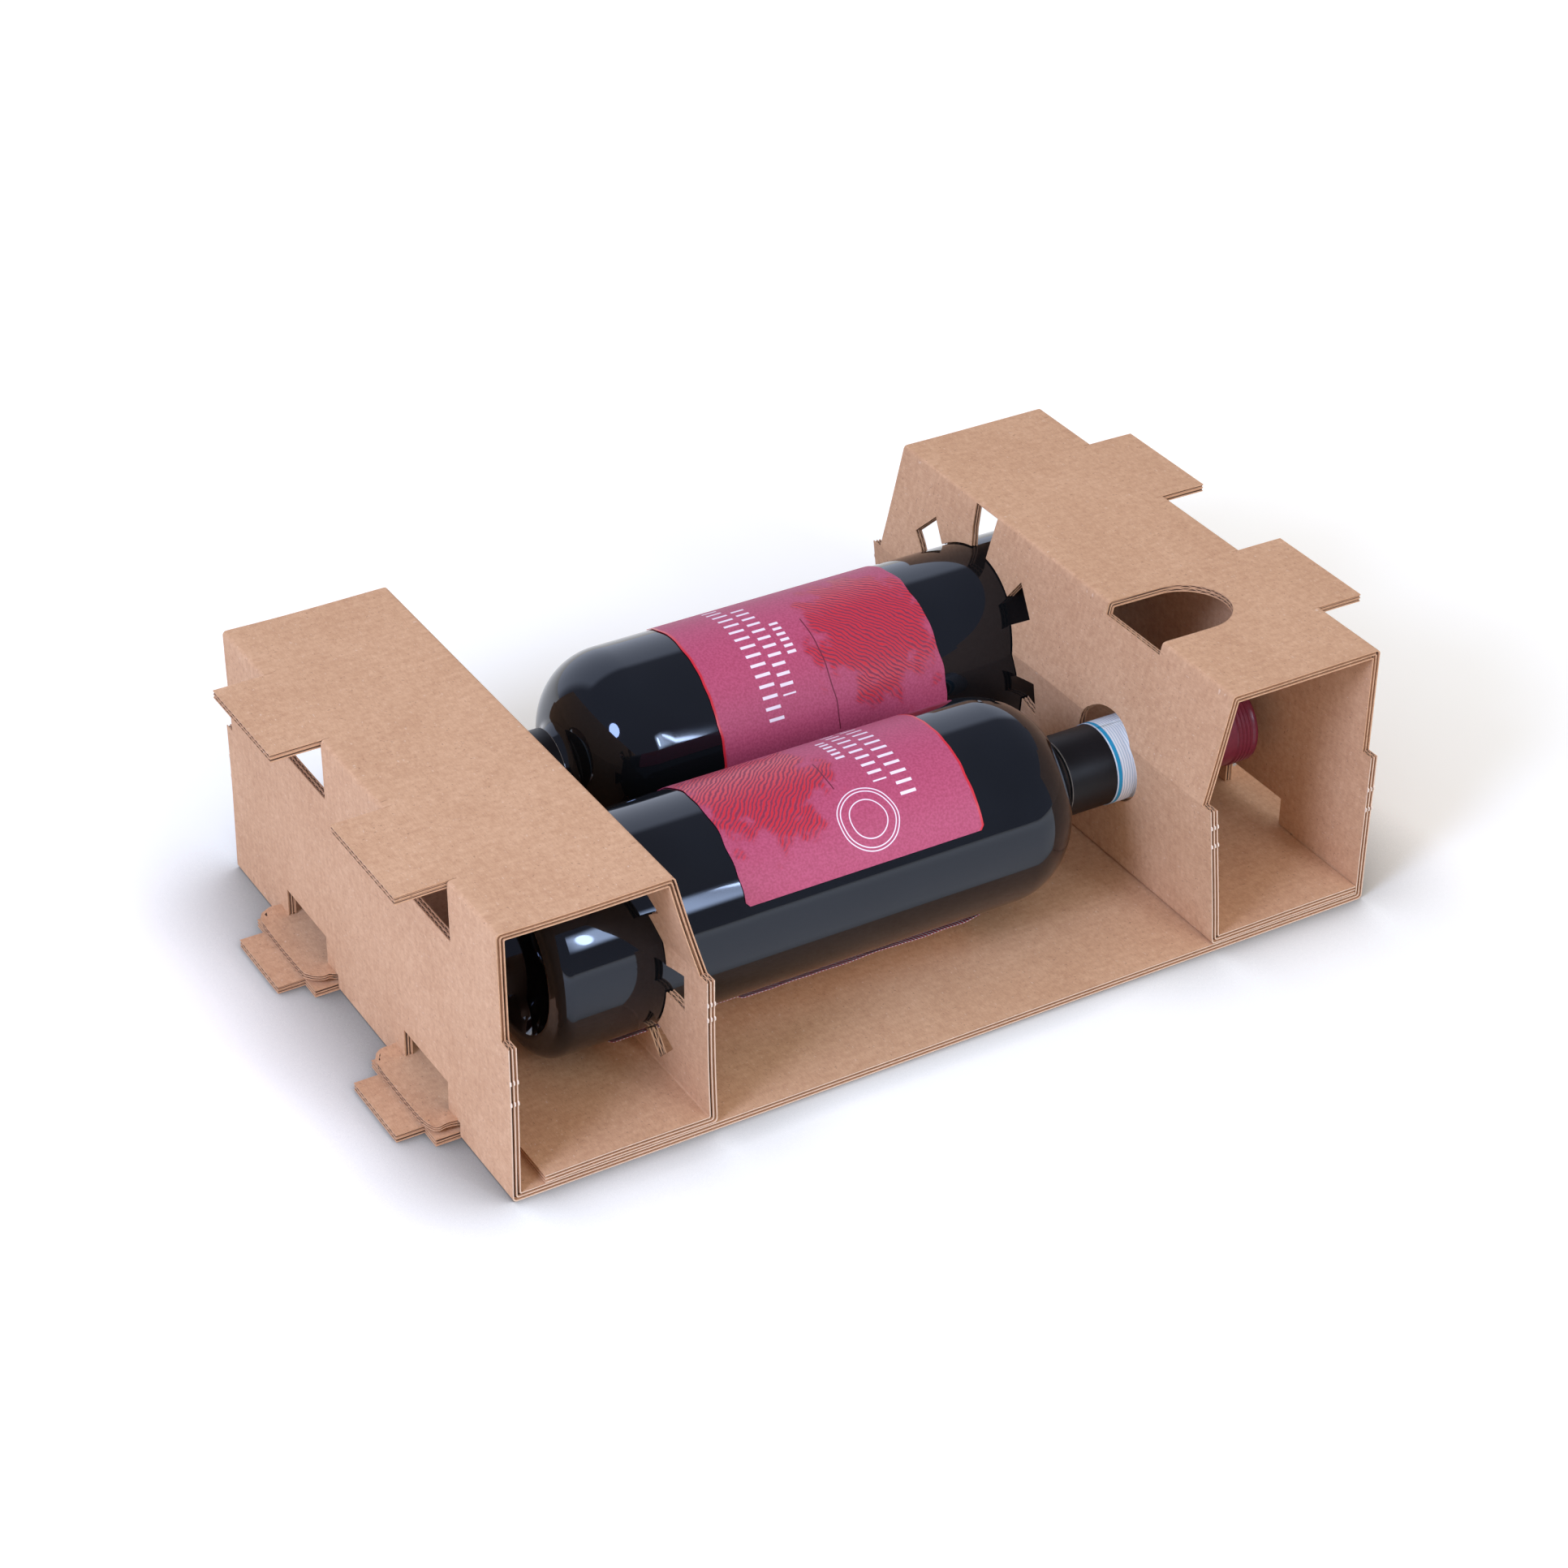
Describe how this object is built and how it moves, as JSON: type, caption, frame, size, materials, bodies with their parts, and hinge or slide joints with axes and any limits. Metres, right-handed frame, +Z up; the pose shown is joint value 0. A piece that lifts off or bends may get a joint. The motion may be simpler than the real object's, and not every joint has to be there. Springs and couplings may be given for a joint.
{
  "type": "bottle shipping box",
  "caption": "Folded corrugated insert whose end tubes hold wine bottles lying neck to base, bodies in toothed holes and necks in round holes.",
  "frame": {"origin": "middle of the base, on the floor under it", "axes": "+X along the bottles, +Z up, -Y the front, where the first bottle's neck points to +X"},
  "size_m": [0.389, 0.2254, 0.104],
  "materials": {
    "corrugated_board": "matte",
    "bottle_glass": "gloss",
    "capsule_film": "satin",
    "band_paper": "matte",
    "label_paper": "satin"
  },
  "bodies": {
    "root": {"folded_insert": "corrugated_board", "near_bottle": "bottle_glass", "far_bottle": "bottle_glass", "near_capsule": "capsule_film", "far_capsule": "capsule_film", "near_neck_band": "band_paper", "far_neck_band": "band_paper", "near_main_label": "label_paper", "far_main_label": "label_paper", "near_rear_label": "label_paper", "far_rear_label": "label_paper"}
  },
  "joints": []
}
